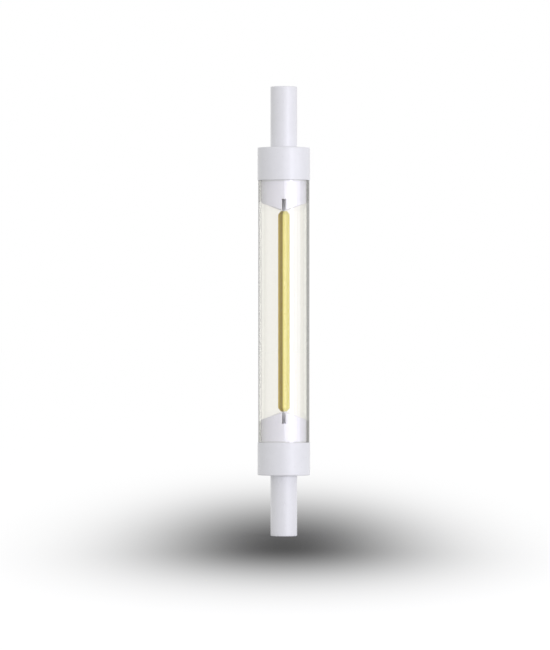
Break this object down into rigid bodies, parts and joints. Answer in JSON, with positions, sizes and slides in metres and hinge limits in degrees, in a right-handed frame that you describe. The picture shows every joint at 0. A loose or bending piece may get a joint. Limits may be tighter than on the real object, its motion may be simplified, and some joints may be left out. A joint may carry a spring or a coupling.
{
  "type": "double-ended linear led lamp",
  "caption": "Slim glass tube lamp with a ceramic cap and stub at each end and a yellow LED bar on its axis, held between two sprung contacts.",
  "frame": {"origin": "centre of the end of the lower stub, which the lamp stands on", "axes": "+Z along the lamp towards the upper stub; +Y away from the viewer, along the ridges of the bar holders; +X to the viewer's right"},
  "size_m": [0.0138, 0.0138, 0.118],
  "materials": {
    "clear_glass": "clear, polished",
    "white_ceramic": "satin",
    "white_moulding": "satin",
    "phosphor_silicone": "satin, translucent",
    "white_adhesive": "matte",
    "substrate_ceramic": "matte",
    "led_chip": "polished",
    "plated_contact": "nickel plated",
    "plated_pin": "nickel plated",
    "tinned_wire": "tinned",
    "solder": "bright",
    "board_laminate": "satin",
    "black_epoxy": "matte",
    "resistor_ceramic": "glazed",
    "resistor_lacquer": "lacquered"
  },
  "bodies": {
    "root": {"front_led_chips": "led_chip", "glass_tube": "clear_glass", "lower_adhesive_sleeve": "white_adhesive", "lower_bar_holder": "white_moulding", "lower_bypass_diode": "black_epoxy", "lower_circuit_board": "board_laminate", "lower_contact": "plated_contact", "lower_contact_lead": "tinned_wire", "lower_end_cap": "white_ceramic", "lower_regulator_chip": "black_epoxy", "lower_sense_resistor": "resistor_ceramic", "lower_solder_joints": "solder", "lower_terminal_pin": "plated_pin", "phosphor_bar": "phosphor_silicone", "rear_led_chips": "led_chip", "substrate": "substrate_ceramic", "upper_adhesive_sleeve": "white_adhesive", "upper_bar_holder": "white_moulding", "upper_bypass_diode": "black_epoxy", "upper_circuit_board": "board_laminate", "upper_contact": "plated_contact", "upper_end_cap": "white_ceramic", "upper_fusible_resistor": "resistor_lacquer", "upper_fusible_resistor_leads": "tinned_wire", "upper_regulator_chip": "black_epoxy", "upper_sense_resistor": "resistor_ceramic", "upper_solder_joints": "solder", "upper_terminal_pin": "plated_pin"}
  },
  "joints": []
}
